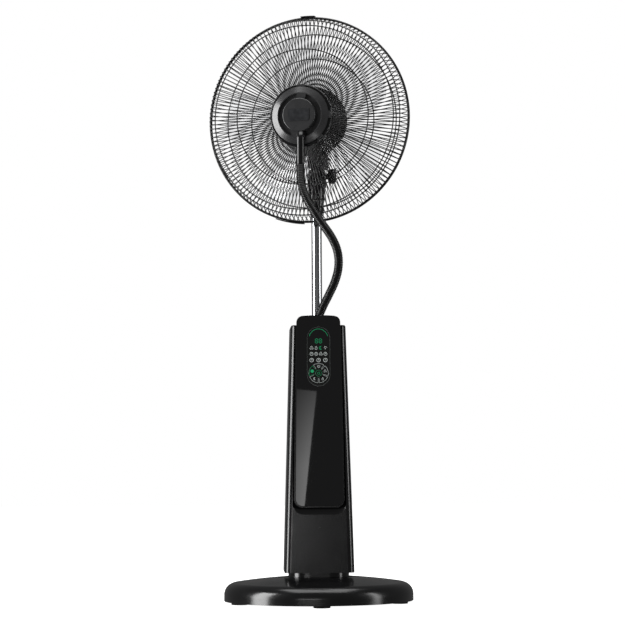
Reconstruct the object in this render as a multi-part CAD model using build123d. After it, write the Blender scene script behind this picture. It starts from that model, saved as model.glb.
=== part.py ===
from build123d import *
import math
import os

# A misting pedestal fan. Sizes are in millimetres. +Z is up, the fan's front faces -Y, and the
# origin is on the floor under the middle of the base. The head stands swung to one side.

# Base
base_d = 410
rim_bottom = 5
crown_top = 58
crown_radius = 1240
shoulder_radius = 26
base_wall = 3
post_radius = 7
boss_radius = 5
recess_w = 179
recess_depth = 132
recess_floor = 54
tray_thick = 3
foot_height = 6
foot_radius = 18
foot_circle = 180
foot_count = 5
weight_radius = 138
weight_thick = 10
tray_screw_circle = 160
tray_screw_radius = 2
tray_screw_length = 17
cable_hole_radius = 12
bolt_x = 38
bolt_y = 28
bolt_radius = 3
plinth_w = 131
plinth_depth = 104

# Tower
tower_bottom = 67
tower_top = 598
tower_bottom_w = 150
tower_top_w = 118
tower_front = -70
tower_back = 100
front_corner = 14
back_corner = 26
top_round = 4
tower_wall = 3
split_y = 15
cap_seam = 586
screw_heights = (110, 545)
screw_radius = 2
screw_reach = 16
screw_head_radius = 4
vent_count = 9
vent_low = 498
vent_pitch = 8
indicator_z = 163
indicator_radius = 1.5
gland_x = 30
gland_z = 90
gland_radius = 6

# Gloss front panel, its pocket and the scoop under it
panel_bottom = 209
panel_top = 619
panel_bottom_w = 104
panel_top_w = 94
panel_crown = 2.5
panel_top_corner = 14
panel_bottom_corner = 16
panel_face = -74
panel_thick = 3
pocket_floor = -64
pocket_gap = 2.5
pocket_flare = 3.5
scoop_bottom = 190
scoop_corner = 24

# Controls
lens_w = 50
lens_height = 128
lens_z = 530
keypad_z = 494
keypad_radius = 22
key_gap = 1
power_key_radius = 7.6
key_proud = 0.4
key_thick = 2.7
key_travel = 0.7
stem_radius = 2
switch_height = 1.2
board_thick = 1.6
board_standoff = 1.4
board_half_w = 22
board_bottom = 468
board_top = 588

# Pole and the steel tube inside the tower
pole_radius = 11.25
pole_wall = 1.5
pole_bottom = 84
pole_top = 862
support_radius = 14
support_plate = 4

# Water and mist
bay_w = 110
bay_front = 27
bay_bottom = 150
bay_top = 482
bay_wall = 2.5
tank_wall = 2
tank_gap = 0.8
tank_shoulder = 466
tank_cap_radius = 24
tank_neck_radius = 20
valve_x = 30
valve_z = 165
valve_radius = 6.5
duct_y = -38
duct_radius = 12
duct_wall = 2
chamber_w = 96
chamber_front = -52
chamber_back = 88
chamber_top = 143
chamber_wall = 2.5
blower_radius = 26
blower_x = -33
blower_y = -24
blower_z = 178
blower_w = 24
blower_wall = 1.5
blower_shaft_radius = 1.5
mouth_length = 9
collar_height = 8

# Neck, swing and tilt
rest_swing = -17
neck_radius = 18
socket_bottom = 838
socket_tip = 12.9
socket_shoulder = 872
spigot_radius = 14.5
spigot_top = 886
gear_module = 0.8
gear_teeth = 18
pinion_teeth = 8
gear_width = 6
swing_motor_radius = 11
neck_deck = 912
tilt_z = 927
tilt_y = 6
ear_radius = 17
ear_gap = 16
tilt_bolt_radius = 4
knob_radius = 16.25
knob_thick = 12
knob_start = 28

# Head: the fan's axis is level, and ring_forward is from the swing axis to the grille's joint
head_z = 1044
ring_forward = 60
rim_radius = 222
rim_wire = 2.3
wire_radius = 1
wire_count = 144
hoop_radius = 1.25
front_hoops = (146, 199, 213)
rear_hoops = (138, 190)
plate_depth = 38
plate_thick = 1.5
plate_radius = 76
motor_radius = 47
motor_wall = 2.2
motor_seam = 72
motor_end = 150
neck_ring_radius = 22
shaft_radius = 4
bearing_radius = 9
bearing_width = 7
rotor_radius = 22
rotor_gap = 0.5
rotor_back = 20
rotor_front = 16
blade_count = 5
blade_radius = 186
blade_hub_radius = 28
blade_plane = 3
blade_turn = 22
blade_thick = 2.2
hub_back = 17
hub_front = 10

# Mist nozzle at the middle of the front grille, in distances forward of the grille's joint
hub_plate_radius = 68
hub_plate_back = 57
hub_plate_front = 66
disc_radius = 62
disc_front = 75
cap_radius = 36
cap_front = 83
slot_outer = 47
slot_inner = 37
badge_w = 47
badge_height = 26
badge_thick = 1
pipe_radius = 9
pipe_x = 5
pipe_forward = 87
pipe_bottom = 937
pipe_top = 1003
pipe_bend = 13

# Hose from the tower to the pipe
hose_radius = 9.5
hose_end = 612
hose_route = [
    (-39, -144.9, 937),
    (-39, -144.9, 905),
    (-31, -145, 873),
    (-15, -139, 843),
    (5, -129, 814),
    (27, -117, 786),
    (42, -102, 756),
    (45, -85, 722),
    (37, -68, 691),
    (23, -53, 662),
    (10, -42, 637),
    (0, -38, 612),
]
hose_split = 6

# Clearances
slip = 0.1
running = 0.05
apart = 0.3

# Places that follow from the sizes above
tray_top = foot_height + tray_thick
weight_top = tray_top + weight_thick
gear_low = spigot_top
pinion_y = (gear_teeth + pinion_teeth) * gear_module / 2
front_wire = [(hub_plate_radius + apart, 61), (150, 56), (211, 44), (rim_radius, 2 * rim_wire)]
rear_wire = [(58, wire_radius - plate_depth), (140, -33), (200, -22), (rim_radius, -2 * rim_wire)]
on_end = (Align.CENTER, Align.CENTER, Align.MIN)
swung = Rot(0, 0, rest_swing)
fan_place = Plane(origin=(0, -ring_forward, head_z), x_dir=(1, 0, 0), z_dir=(0, -1, 0))


def rod(start, end, radius):
    """A round bar from one point to another."""
    line = Vector(*end) - Vector(*start)
    return Solid.make_cylinder(radius, line.length, Plane(origin=start, z_dir=line))


def pipe(start, end, outer, inner):
    """A straight tube."""
    return rod(start, end, outer) - rod(start, end, inner)


def block(x, y, z):
    """A box, from its low and high limits along each axis."""
    limits = (x, y, z)
    size = [high - low for low, high in limits]
    middle = [(high + low) / 2 for low, high in limits]
    return Pos(*middle) * Box(*size)


def slab(outline, front, back):
    """An outline drawn in X and Z, made solid from Y = front to Y = back."""
    return extrude(Plane.XZ.offset(-back) * outline, back - front)


def spun(*points):
    """A closed outline of (radius, height) points, turned about Z."""
    return revolve(Plane.XZ * Polygon(*points, align=None), Axis.Z)


def joined(*shapes):
    """Several shapes kept as separate solids of one piece or group."""
    return Compound([solid for shape in shapes for solid in shape.solids()])


def around(shape, count, first=0):
    """Copies of a shape, evenly spaced about Z."""
    return [Rot(0, 0, first + 360 * i / count) * shape for i in range(count)]


def on_fan(shape):
    """Places a shape made with +Z forward and +Y up on the fan's axis."""
    return swung * fan_place.location * shape


def save(name, shape):
    export_step(shape, f"parts/{name}.step")


# ---- Base ----


def base_form(inset):
    """The base's domed body, moved in by inset."""
    radius = base_d / 2 - inset
    top = crown_top - inset
    dome = crown_radius - inset
    edge = top - dome + math.sqrt(dome**2 - radius**2)
    half = top - dome + math.sqrt(dome**2 - (radius / 2) ** 2)
    sides = Polyline((0, top), (0, rim_bottom), (radius, rim_bottom), (radius, edge))
    outline = make_face(sides + ThreePointArc((radius, edge), (radius / 2, half), (0, top)))
    form = revolve(Plane.XZ * outline, Axis.Z)
    corner = [e for e in form.edges() if abs(e.center().Z - edge) < 1 and e.length > radius]
    return fillet(corner, shoulder_radius - inset)


def bolt_places():
    return [(x, y) for x in (-bolt_x, bolt_x) for y in (-bolt_y, bolt_y)]


def tray_screw_places():
    turns = [math.radians(-90 + 360 * (i + 0.5) / foot_count) for i in range(foot_count)]
    return [(tray_screw_circle * math.cos(t), tray_screw_circle * math.sin(t)) for t in turns]


def base_cover():
    outer = base_form(0)
    hollow = base_form(base_wall)
    shelf = Pos(0, 0, recess_floor - base_wall) * extrude(
        Ellipse(recess_w / 2 + base_wall, recess_depth / 2 + base_wall), crown_top)
    recess = Pos(0, 0, recess_floor) * extrude(Ellipse(recess_w / 2, recess_depth / 2), crown_top)
    posts = [rod((x, y, weight_top), (x, y, recess_floor), post_radius) for x, y in bolt_places()]
    bosses = [rod((x, y, tray_top), (x, y, crown_top), boss_radius) & outer for x, y in tray_screw_places()]
    cover = outer - hollow + (shelf & outer)
    for piece in posts + bosses:
        cover += piece
    cover -= recess
    for x, y in bolt_places():
        cover -= rod((x, y, 0), (x, y, crown_top), bolt_radius + slip)
    for x, y in tray_screw_places():
        cover -= rod((x, y, 0), (x, y, foot_height + tray_screw_length + 1), tray_screw_radius + slip)
    return cover - rod((0, 0, rim_bottom), (0, 0, crown_top), cable_hole_radius)


def base_weight():
    disc = rod((0, 0, tray_top), (0, 0, weight_top), weight_radius)
    disc -= rod((0, 0, tray_top), (0, 0, weight_top), 20)
    for x, y in bolt_places():
        disc -= rod((x, y, tray_top), (x, y, weight_top), bolt_radius + slip)
    return disc


def base_tray():
    radius = base_d / 2 - base_wall - apart
    tray = rod((0, 0, foot_height), (0, 0, tray_top), radius)
    for x, y in bolt_places():
        tray -= rod((x, y, foot_height), (x, y, tray_top), bolt_radius + slip)
    for x, y in tray_screw_places():
        tray -= rod((x, y, foot_height), (x, y, tray_top), tray_screw_radius + slip)
    return tray


def rubber_feet():
    foot = Pos(foot_circle, 0, 0) * Cylinder(foot_radius, foot_height, align=on_end)
    foot = fillet(foot.edges().group_by(Axis.Z)[0], 1)
    return joined(*around(foot, foot_count, -90))


def base_fasteners():
    plate_top = tower_bottom + tower_wall + support_plate
    pieces = []
    for x, y in bolt_places():
        shank = rod((x, y, foot_height), (x, y, plate_top - 1), bolt_radius)
        pieces.append(shank + rod((x, y, foot_height - 4), (x, y, foot_height), 5.5))
    for x, y in tray_screw_places():
        shank = rod((x, y, foot_height), (x, y, foot_height + tray_screw_length), tray_screw_radius)
        pieces.append(shank + rod((x, y, foot_height - 2), (x, y, foot_height), 4))
    return joined(*pieces)


def plinth():
    body = Pos(0, 0, recess_floor) * extrude(
        RectangleRounded(plinth_w, plinth_depth, plinth_depth / 2 - 8), tower_bottom - recess_floor)
    for x, y in bolt_places():
        body -= rod((x, y, recess_floor), (x, y, tower_bottom), bolt_radius + slip)
    return body - rod((0, 0, recess_floor), (0, 0, tower_bottom), cable_hole_radius)


# ---- Tower ----


def tower_half(z):
    """Half the tower's width at a height."""
    share = (z - tower_bottom) / (tower_top - tower_bottom)
    return (tower_bottom_w + (tower_top_w - tower_bottom_w) * share) / 2


def tower_form(inset, low, high):
    """The tower's tapering body, moved in by inset on its four sides."""
    bottom = tower_half(low) - inset
    top = tower_half(high) - inset
    front = tower_front + inset
    back = tower_back - inset
    outline = Polygon((-bottom, low), (bottom, low), (top, high), (-top, high), align=None)
    form = slab(outline, front, back)
    for y, radius in ((front, front_corner), (back, back_corner)):
        uprights = [e for e in form.edges() if abs(e.center().Y - y) < 0.1 and abs(e.center().X) > 40]
        form = fillet(uprights, radius - inset)
    return form


def panel_outline():
    """The front panel's face, with a gently crowned top edge."""
    low = panel_bottom_w / 2
    high = panel_top_w / 2
    shoulder = panel_top - panel_crown
    sides = Polyline((-high, shoulder), (-low, panel_bottom), (low, panel_bottom), (high, shoulder))
    face = make_face(sides + ThreePointArc((high, shoulder), (0, panel_top), (-high, shoulder)))
    face = fillet(face.vertices().group_by(Axis.Y)[0], panel_bottom_corner)
    return fillet([v for v in face.vertices() if abs(v.Y - shoulder) < 0.1], panel_top_corner)


def pocket_section(gap, bottom, corner):
    """The pocket's outline at one depth. It runs out past the tower's top."""
    slope = (panel_top_w - panel_bottom_w) / 2 / (panel_top - panel_bottom)
    high = panel_top + 30
    low_half = panel_bottom_w / 2 + (bottom - panel_bottom) * slope + gap
    high_half = panel_top_w / 2 + (high - panel_top) * slope + gap
    face = Polygon((-low_half, bottom), (low_half, bottom), (high_half, high), (-high_half, high), align=None)
    return fillet(face.vertices().group_by(Axis.Y)[0], corner)


def pocket():
    """The space that the panel sits in, with the scoop that rises to it from below."""
    past = 0.5
    inner = Plane.XZ.offset(-pocket_floor) * pocket_section(
        pocket_gap, panel_bottom - pocket_gap, panel_bottom_corner + pocket_gap)
    outer = Plane.XZ.offset(past - tower_front) * pocket_section(
        pocket_gap + pocket_flare, scoop_bottom, scoop_corner)
    return loft([inner, outer])


def bay(grow):
    """The tank's bay, open at the back, or the block of its walls."""
    half = bay_w / 2 + grow
    return block((-half, half), (bay_front - grow, tower_back + 1), (bay_bottom - grow, bay_top + grow))


def screw_places():
    """The screws that hold the housings together."""
    return [(side * (tower_half(z) - 7), z) for z in screw_heights for side in (-1, 1)]


def tower_shell():
    """The tower's walls in one piece, before they are parted."""
    outer = tower_form(0, tower_bottom, tower_top)
    outer = fillet(outer.edges().group_by(Axis.Z)[-1], top_round)
    hollow = tower_form(tower_wall, tower_bottom + tower_wall, tower_top - tower_wall - 1)
    backing = slab(
        pocket_section(pocket_gap + tower_wall, panel_bottom - pocket_gap - tower_wall, panel_bottom_corner),
        tower_front, pocket_floor + tower_wall)
    scoop_gap = pocket_gap + pocket_flare
    scoop_face = pocket_section(scoop_gap + tower_wall, scoop_bottom - tower_wall, scoop_corner)
    scoop_wall = slab(scoop_face, tower_front, tower_front + 2 * tower_wall)
    scoop_wall &= block((-90, 90), (-90, 90), (0, panel_bottom + 20))
    hollow = hollow - backing - scoop_wall - bay(bay_wall)
    return outer - hollow - pocket() - bay(0)


def front_housing(shell):
    half = shell & block((-90, 90), (tower_front - 10, split_y), (0, cap_seam))
    form = tower_form(0, tower_bottom, tower_top)
    for x, z in screw_places():
        boss = rod((x, split_y - screw_reach - 4, z), (x, split_y, z), boss_radius) & form
        half = half + boss - rod((x, split_y - screw_reach - 2, z), (x, split_y, z), screw_radius + slip)
    for x in (-18, 18):
        for z in (board_bottom + 6, board_top - 6):
            half += rod((x, pocket_floor, z), (x, pocket_floor - board_standoff, z), 3)
    for x in (22, 54):
        for z in (246, 334):
            half += rod((x, pocket_floor + tower_wall, z), (x, pocket_floor + tower_wall + 4, z), 3)
    for x, y in bolt_places():
        half -= rod((x, y, tower_bottom), (x, y, tower_bottom + tower_wall), bolt_radius + slip)
    half -= rod((0, 0, tower_bottom), (0, 0, tower_bottom + tower_wall), 10)
    through = (0, tower_front + tower_wall, indicator_z)
    return half - rod((0, tower_front, indicator_z), through, indicator_radius + slip)


def rear_housing(shell):
    half = shell & block((-90, 90), (split_y, tower_back + 10), (0, cap_seam))
    form = tower_form(0, tower_bottom, tower_top)
    for x, z in screw_places():
        boss = rod((x, split_y, z), (x, split_y + screw_reach, z), boss_radius) & form
        half = half + boss - rod((x, split_y, z), (x, split_y + screw_reach, z), screw_radius + slip)
        half -= rod((x, split_y + screw_reach, z), (x, tower_back, z), screw_head_radius + 0.6)
    for x, y in bolt_places():
        half -= rod((x, y, tower_bottom), (x, y, tower_bottom + tower_wall), bolt_radius + slip)
    for i in range(vent_count):
        slot = slab(SlotOverall(64, 3.2), tower_back - tower_wall - 1, tower_back + 1)
        half -= Pos(0, 0, vent_low + vent_pitch * i) * slot
    half -= rod((valve_x, split_y, valve_z), (valve_x, bay_front, valve_z), valve_radius + apart)
    return half - rod((gland_x, tower_back - 5, gland_z), (gland_x, tower_back, gland_z), gland_radius + slip)



def housing_screws():
    pieces = []
    for x, z in screw_places():
        shank = rod((x, split_y - screw_reach, z), (x, split_y + screw_reach, z), screw_radius)
        head = rod((x, split_y + screw_reach, z), (x, split_y + screw_reach + 2.5, z), screw_head_radius)
        pieces.append(shank + head)
    return joined(*pieces)


def top_cap(shell):
    cap = shell & block((-90, 90), (tower_front - 10, tower_back + 10), (cap_seam, tower_top + 10))
    tongue = slab(offset(panel_outline(), amount=-4), pocket_floor, pocket_floor + tower_wall)
    cap += tongue & block((-90, 90), (-90, 90), (cap_seam, panel_top))
    cap -= rod((0, 0, cap_seam), (0, 0, tower_top), pole_radius + slip)
    return cap - rod((0, duct_y, cap_seam), (0, duct_y, tower_top), duct_radius + slip)


def lens_outline(grow):
    return Pos(0, lens_z) * Rot(0, 0, 90) * SlotOverall(lens_height + 2 * grow, lens_w + 2 * grow)


def front_panel():
    back = panel_face + panel_thick
    body = slab(panel_outline(), panel_face, pocket_floor)
    body = chamfer(body.edges().group_by(Axis.Y)[0], 1.2)
    body -= slab(offset(panel_outline(), amount=-panel_thick), back, pocket_floor)
    return body - slab(lens_outline(slip), panel_face, back)


def panel_lens():
    back = panel_face + panel_thick
    window = slab(lens_outline(0), panel_face + apart, back)
    window += slab(lens_outline(1.5), back, back + 1.2)
    return window - rod((0, panel_face, keypad_z), (0, back + 2, keypad_z), keypad_radius + 0.4)


def board_front():
    return pocket_floor - board_standoff - board_thick


def key_middles():
    """Each keypad sector's name and the direction of its middle, in degrees."""
    names = ("key_top", "key_left", "key_lower_left", "key_lower_right", "key_right")
    return [(name, 90 + 72 * i) for i, name in enumerate(names)]


def stem_end():
    return board_front() - switch_height - key_travel - slip



def key_place(turn):
    """Where a sector key's stem and switch are."""
    middle = (power_key_radius + keypad_radius) / 2 + 0.5
    angle = math.radians(turn)
    return middle * math.cos(angle), keypad_z + middle * math.sin(angle)


def sector_key(turn):
    front = panel_face - key_proud
    ring = Circle(keypad_radius) - Circle(power_key_radius + key_gap)
    for side in (-36, 36):
        ring -= Rot(0, 0, turn + side) * Pos(keypad_radius, 0) * Rectangle(2 * keypad_radius, key_gap)
    faces = ring.faces()
    aim = Vector(math.cos(math.radians(turn)), math.sin(math.radians(turn)), 0)
    face = max(faces, key=lambda f: f.center().dot(aim) if f.area < 400 else -1)
    key = Pos(0, 0, keypad_z) * slab(face, front, front + key_thick)
    key = fillet(key.edges().group_by(Axis.Y)[0], 0.35)
    x, z = key_place(turn)
    return key + rod((x, front + key_thick, z), (x, stem_end(), z), stem_radius)


def power_key():
    front = panel_face - key_proud
    key = rod((0, front + key_thick, keypad_z), (0, front, keypad_z), power_key_radius)
    key = fillet(key.edges().group_by(Axis.Y)[0], 0.5)
    return key + rod((0, front + key_thick, keypad_z), (0, stem_end(), keypad_z), stem_radius)


def control_board():
    front = board_front()
    board = block((-board_half_w, board_half_w), (front, front + board_thick), (board_bottom, board_top))
    display = block((-15, 15), (front - 2.3, front), (552, 576))
    places = [key_place(turn) for _, turn in key_middles()] + [(0, keypad_z)]
    switches = [rod((x, front, z), (x, front - switch_height, z), 2.6) for x, z in places]
    return joined(board, display, *switches)


def indicator_lens():
    return rod((0, tower_front, indicator_z), (0, tower_front + 7, indicator_z), indicator_radius)


def support_tube():
    floor = tower_bottom + tower_wall
    plate = block((-52, 52), (-42, 42), (floor, floor + support_plate))
    for x, y in bolt_places():
        plate -= rod((x, y, floor), (x, y, floor + support_plate), bolt_radius + slip)
    tube = rod((0, 0, floor + support_plate), (0, 0, cap_seam - 2), support_radius)
    return plate + tube - rod((0, 0, floor), (0, 0, cap_seam), pole_radius + slip)


def pole():
    return pipe((0, 0, pole_bottom), (0, 0, pole_top), pole_radius, pole_radius - pole_wall)


# ---- Water and mist ----


def water_tank():
    half = bay_w / 2 - tank_gap
    front = bay_front + tank_gap
    low = bay_bottom + apart
    room = block((-half, half), (front, tower_back), (low, tank_shoulder))
    body = tower_form(apart, tower_bottom, tower_top) & room
    inner = tower_form(apart + tank_wall, tower_bottom, tower_top) & block(
        (-half + tank_wall, half - tank_wall), (front + tank_wall, tower_back),
        (low + tank_wall, tank_shoulder - tank_wall))
    grip_block = block((-34, 34), (tower_back - 18, tower_back), (394, 446))
    tank = body - (inner - grip_block)
    tank -= block((-32, 32), (tower_back - 16, tower_back + 1), (396, 444))
    middle = (front + tower_back) / 2
    neck_top = (0, middle, tank_shoulder + 7)
    neck = pipe((0, middle, tank_shoulder), neck_top, tank_neck_radius, tank_neck_radius - 2)
    tank = tank + neck - rod((0, middle, tank_shoulder - 5), (0, middle, tank_shoulder), tank_neck_radius - 2)
    return tank - rod((valve_x, front, valve_z), (valve_x, front + tank_wall, valve_z), valve_radius - 1)


def tank_cap():
    middle = (bay_front + tank_gap + tower_back) / 2
    low = tank_shoulder + apart
    outer = rod((0, middle, low), (0, middle, bay_top - 3), tank_cap_radius)
    for i in range(24):
        angle = 2 * math.pi * i / 24
        groove = tank_cap_radius + 0.6
        x = groove * math.cos(angle)
        y = middle + groove * math.sin(angle)
        outer -= rod((x, y, low), (x, y, bay_top - 3), 1.4)
    return outer - rod((0, middle, low), (0, middle, tank_shoulder + 7.5), tank_neck_radius + apart)


def tank_valve():
    front = bay_front + tank_gap
    tip = front - 8
    return pipe((valve_x, tip, valve_z), (valve_x, front, valve_z), valve_radius, valve_radius - 2.5)


def mist_chamber():
    half = chamber_w / 2
    low = tower_bottom + tower_wall + support_plate
    box = block((-half, half), (chamber_front, chamber_back), (low, chamber_top))
    room = block((-half + chamber_wall, half - chamber_wall),
                 (chamber_front + chamber_wall, chamber_back - chamber_wall),
                 (low + chamber_wall, chamber_top))
    room -= rod((0, 0, low), (0, 0, chamber_top), support_radius + 3)
    return box - room - rod((0, 0, low), (0, 0, chamber_top), support_radius + 1)


def chamber_lid():
    half = chamber_w / 2
    low = chamber_top
    high = chamber_top + 3
    lid = block((-half, half), (chamber_front, chamber_back), (low, high))
    lid -= rod((0, 0, low), (0, 0, high), support_radius + 1)
    lid -= rod((0, duct_y, low), (0, duct_y, high), duct_radius - duct_wall)
    lid -= block((-41, -25), (-44, -28), (low, high))
    seat_back = split_y - 1
    seat_front = seat_back - 14
    seat = block((valve_x - 10, valve_x + 10), (seat_front, bay_front - bay_wall - apart),
                 (high, valve_z + 10))
    seat -= rod((valve_x, seat_back - 4, valve_z), (valve_x, bay_front, valve_z), valve_radius + apart)
    seat -= rod((valve_x, seat_back - 6, high), (valve_x, seat_back - 6, valve_z), 4)
    return lid + seat - rod((valve_x, seat_back - 6, low), (valve_x, seat_back - 6, high), 4)


def mist_duct():
    return pipe((0, duct_y, chamber_top + 3), (0, duct_y, cap_seam + 4), duct_radius, duct_radius - duct_wall)


def hose_socket():
    start = cap_seam + 4
    spigot = rod((0, duct_y, start), (0, duct_y, tower_top), duct_radius)
    collar = rod((0, duct_y, tower_top), (0, duct_y, tower_top + collar_height), duct_radius + duct_wall)
    top = Vector(*hose_route[-1])
    lean = (Vector(*hose_route[-2]) - top).normalized()
    mouth = rod(top - lean * mouth_length, top, hose_radius + 2)
    body = spigot + collar + mouth
    body -= rod((0, duct_y, start), (0, duct_y, tower_top + collar_height - 2), hose_radius - 2)
    return body - rod(top - lean * mouth_length, top, hose_radius - 2)


def atomiser():
    low = tower_bottom + tower_wall + support_plate + chamber_wall
    cup = pipe((-26, -34, low), (-26, -34, low + 9), 12, 10)
    disc = rod((-26, -34, low), (-26, -34, low + 2), 10)
    return joined(cup + disc)


def blower_housing():
    left = blower_x - blower_w / 2
    right = blower_x + blower_w / 2
    drum = rod((left, blower_y, blower_z), (right, blower_y, blower_z), blower_radius)
    spout = block((-42, -24), (-46, -26), (chamber_top + 3, blower_z))
    case = drum + spout
    room = rod((left + blower_wall, blower_y, blower_z), (right - blower_wall, blower_y, blower_z),
               blower_radius - blower_wall)
    throat = block((-40.5, -25.5), (-44.5, -27.5), (chamber_top + 3, blower_z))
    inlet = rod((left, blower_y, blower_z), (left + blower_wall, blower_y, blower_z), 12)
    bearing = rod((right - blower_wall, blower_y, blower_z), (right, blower_y, blower_z),
                  blower_shaft_radius + running)
    return case - room - throat - inlet - bearing


def blower_impeller():
    right = blower_x + blower_w / 2 - 2.5
    left = blower_x - blower_w / 2 + 2.5
    wheel = rod((right - 1.5, blower_y, blower_z), (right, blower_y, blower_z), 22)
    wheel += rod((left + 4, blower_y, blower_z), (right, blower_y, blower_z), 5)
    wheel += rod((right, blower_y, blower_z), (right + 2.5, blower_y, blower_z), blower_shaft_radius)
    for i in range(16):
        vane = Pos(0, 0, 17) * Box(right - left, 1, 9)
        vane = Pos((left + right) / 2, blower_y, blower_z) * Rot(360 * i / 16, 0, 0) * vane
        wheel += vane
    return wheel


def power_board():
    back = pocket_floor + tower_wall + 4
    front = back + board_thick
    board = block((17, 59), (back, front), (240, 340))
    coil = block((22, 50), (front, front + 24), (252, 282))
    can = rod((30, front, 312), (30, front + 22, 312), 9)
    return joined(board, coil, can)


def cord_gland():
    start = (gland_x, tower_back - 7, gland_z)
    end = (gland_x, tower_back + 4, gland_z)
    boot = rod(start, end, gland_radius) + rod((gland_x, tower_back, gland_z), end, gland_radius + 2)
    return boot - rod(start, end, 3.5)


# ---- Neck ----


def gear_outline(teeth, first):
    """A spur gear's outline with straight flanks, one gap's width narrower than a tight mesh."""
    pitch = teeth * gear_module / 2
    root = pitch - 1.2 * gear_module
    tip = pitch + 0.85 * gear_module
    tooth = Polygon((root - 0.5, -0.95 * gear_module), (tip, -0.38 * gear_module),
                    (tip, 0.38 * gear_module), (root - 0.5, 0.95 * gear_module), align=None)
    face = Circle(root)
    for i in range(teeth):
        face += Rot(0, 0, first + 360 * i / teeth) * tooth
    return face


def neck_socket():
    sleeve = spun((0, socket_bottom), (socket_tip, socket_bottom), (neck_radius - 1, socket_shoulder),
                  (spigot_radius, socket_shoulder), (spigot_radius, spigot_top), (0, spigot_top))
    gear = Pos(0, 0, gear_low) * extrude(gear_outline(gear_teeth, rest_swing), gear_width)
    sleeve -= rod((0, 0, socket_bottom), (0, 0, pole_top), pole_radius + slip)
    return sleeve + gear - rod((0, 0, pole_top), (0, 0, gear_low + gear_width), 3)


def swivel_bush():
    inner = spigot_radius + running
    outer = neck_radius - 1.7
    flange = pipe((0, 0, socket_shoulder + running), (0, 0, socket_shoulder + 1), neck_radius - 0.2, inner)
    body = pipe((0, 0, socket_shoulder + 1), (0, 0, spigot_top - 1), outer - running, inner)
    return flange + body


def neck_housing():
    low = socket_shoulder + 1
    column = rod((0, 0, low), (0, 0, neck_deck + 3), neck_radius)
    column -= rod((0, 0, low), (0, 0, spigot_top), neck_radius - 1.7)
    column -= rod((0, 0, spigot_top), (0, 0, neck_deck), neck_radius - 2.5)
    foot = neck_deck - 8
    cheek = Pos(tilt_y, (tilt_z + foot) / 2) * Rectangle(2 * ear_radius, tilt_z - foot)
    cheek += Pos(tilt_y, tilt_z) * Circle(ear_radius)
    ears = Pos(-neck_radius, 0, 0) * extrude(Plane.YZ * cheek, 2 * neck_radius)
    uprights = [e for e in ears.edges()
                if abs(e.center().Z - (tilt_z + foot) / 2) < 2 and abs(e.length - (tilt_z - foot)) < 3]
    column += fillet(uprights, 6)
    column -= rod((0, 0, spigot_top), (0, 0, neck_deck), neck_radius - 2.5)
    column -= block((-ear_gap / 2, ear_gap / 2), (tilt_y - 40, tilt_y + 40), (neck_deck + 2, tilt_z + 40))
    column -= rod((-30, tilt_y, tilt_z), (30, tilt_y, tilt_z), tilt_bolt_radius + running)
    return swung * column


def swing_motor():
    low = gear_low + gear_width + 1.5
    can = rod((0, pinion_y - 8, low), (0, pinion_y - 8, neck_deck), swing_motor_radius)
    return swung * can


def swing_pinion():
    gear = Pos(0, pinion_y, gear_low) * extrude(gear_outline(pinion_teeth, pinion_first()), gear_width)
    shaft = rod((0, pinion_y, gear_low), (0, pinion_y, gear_low + gear_width + 1.4), 1.5)
    return swung * (gear + shaft)


def pinion_first():
    """The pinion's turn that puts a gap opposite a gear tooth, or a tooth opposite a gap."""
    step = 360 / gear_teeth
    offset_from_tooth = (90 % step) / step
    return -90 + (0.5 - offset_from_tooth) * 360 / pinion_teeth


def tilt_bolt():
    shank = rod((-neck_radius, tilt_y, tilt_z), (knob_start + 2, tilt_y, tilt_z), tilt_bolt_radius)
    head = rod((-neck_radius - 3, tilt_y, tilt_z), (-neck_radius, tilt_y, tilt_z), 8)
    head = fillet(head.edges().group_by(Axis.X)[0], 2)
    return swung * (shank + head)


def tilt_knob():
    start = neck_radius + apart
    end = knob_start + knob_thick
    grip = rod((knob_start, tilt_y, tilt_z), (end, tilt_y, tilt_z), knob_radius)
    for i in range(6):
        scallop = Pos(0, knob_radius + 5, 0) * rod((knob_start, 0, 0), (end, 0, 0), 7)
        grip -= Pos(0, tilt_y, tilt_z) * Rot(60 * i, 0, 0) * scallop
    stem = rod((start, tilt_y, tilt_z), (knob_start, tilt_y, tilt_z), 6.5)
    hole = rod((start, tilt_y, tilt_z), (knob_start + 2.5, tilt_y, tilt_z), tilt_bolt_radius + running)
    return swung * (grip + stem - hole)


# ---- Head. These are made with +Z forward along the fan's axis ----


def motor_bracket():
    saddle_low = tilt_z + ear_radius + 2.5
    tongue = Pos(tilt_y, tilt_z) * Circle(ear_radius - 4.5)
    tongue_top = saddle_low + 2
    tongue += Pos(tilt_y, (tilt_z + tongue_top) / 2) * Rectangle(2 * ear_radius - 9, tongue_top - tilt_z)
    half = ear_gap / 2 - apart
    body = Pos(-half, 0, 0) * extrude(Plane.YZ * tongue, 2 * half)
    saddle_high = head_z - motor_radius + 6
    saddle = block((-neck_radius + 1, neck_radius - 1), (-12, 46), (saddle_low, saddle_high))
    uprights = [e for e in saddle.edges() if abs(e.center().Z - (saddle_low + saddle_high) / 2) < 1]
    body += fillet(uprights, 7)
    body -= rod((0, -100, head_z), (0, 200, head_z), motor_radius)
    body -= rod((-30, tilt_y, tilt_z), (30, tilt_y, tilt_z), tilt_bolt_radius + running)
    return swung * body


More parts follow.
